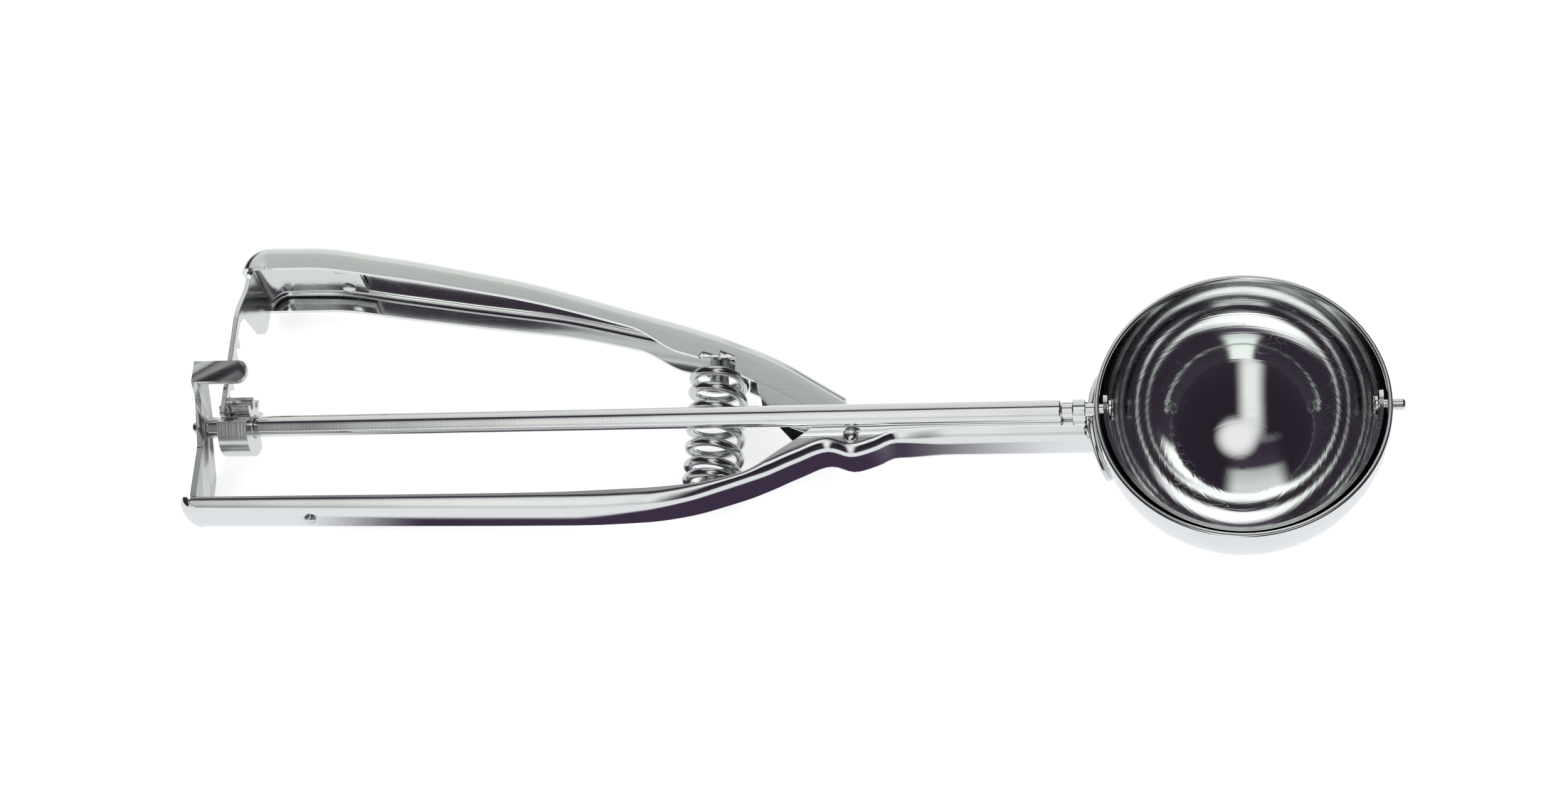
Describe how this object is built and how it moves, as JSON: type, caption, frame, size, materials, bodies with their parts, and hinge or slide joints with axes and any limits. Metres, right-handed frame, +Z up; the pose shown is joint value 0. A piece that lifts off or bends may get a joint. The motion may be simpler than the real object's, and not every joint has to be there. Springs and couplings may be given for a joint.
{
  "type": "ice cream scoop",
  "caption": "Squeeze-handle ice cream scoop: a round bowl swept by a curved blade that a rack and pinion turn as the sprung handles close.",
  "frame": {"origin": "middle of the bounding box at table height, with the scoop lying as it rests on its bowl and both handle ends", "axes": "+Z up from the table, +X along the shaft from the handles to the bowl, +Y towards the moving handle"},
  "size_m": [0.237, 0.0686, 0.0334],
  "materials": {
    "bowl_steel": "polished",
    "saddle_steel": "polished",
    "bush_steel": "polished",
    "fixed_handle_steel": "polished",
    "bracket_steel": "satin",
    "pivot_steel": "satin",
    "spring_steel": "satin",
    "moving_handle_steel": "polished",
    "rack_steel": "satin",
    "shaft_steel": "polished",
    "pinion_steel": "satin",
    "blade_steel": "polished",
    "front_pin_steel": "satin",
    "rivet_steel": "satin",
    "post_steel": "satin"
  },
  "bodies": {
    "frame": {"bowl": "bowl_steel", "bowl_saddle": "saddle_steel", "front_bush": "bush_steel", "fixed_handle": "fixed_handle_steel", "rear_bracket": "bracket_steel", "bracket_rivet": "rivet_steel", "pivot_rivet": "pivot_steel", "spring_post_fixed": "post_steel", "return_spring": "spring_steel"},
    "squeeze_handle": {"moving_handle": "moving_handle_steel", "rack": "rack_steel", "rack_rivet_upper": "rivet_steel", "rack_rivet_lower": "rivet_steel", "spring_post_moving": "post_steel"},
    "sweeper": {"shaft": "shaft_steel", "pinion": "pinion_steel", "sweeper_blade": "blade_steel", "front_pin": "front_pin_steel"}
  },
  "joints": [
    {"name": "handle_squeeze", "type": "hinge", "parent": "frame", "child": "squeeze_handle", "pos_m": [0.01345, -0.00933, 0.02131], "axis": [-0.0859, -0.077, 0.9933], "range_deg": [0, 6.66], "stiffness_Nm_per_rad": 0.6, "springref_deg": -14.32, "deforming": ["return_spring"]},
    {"name": "sweeper_turn", "type": "hinge", "parent": "frame", "child": "sweeper", "pos_m": [0.08816, -0.00629, 0.028], "axis": [0.9963, -0.0033, 0.0859], "range_deg": [0, 165]}
  ],
  "couplings": [
    {"joint": "sweeper_turn", "follows": "handle_squeeze", "ratio": 24.768}
  ]
}
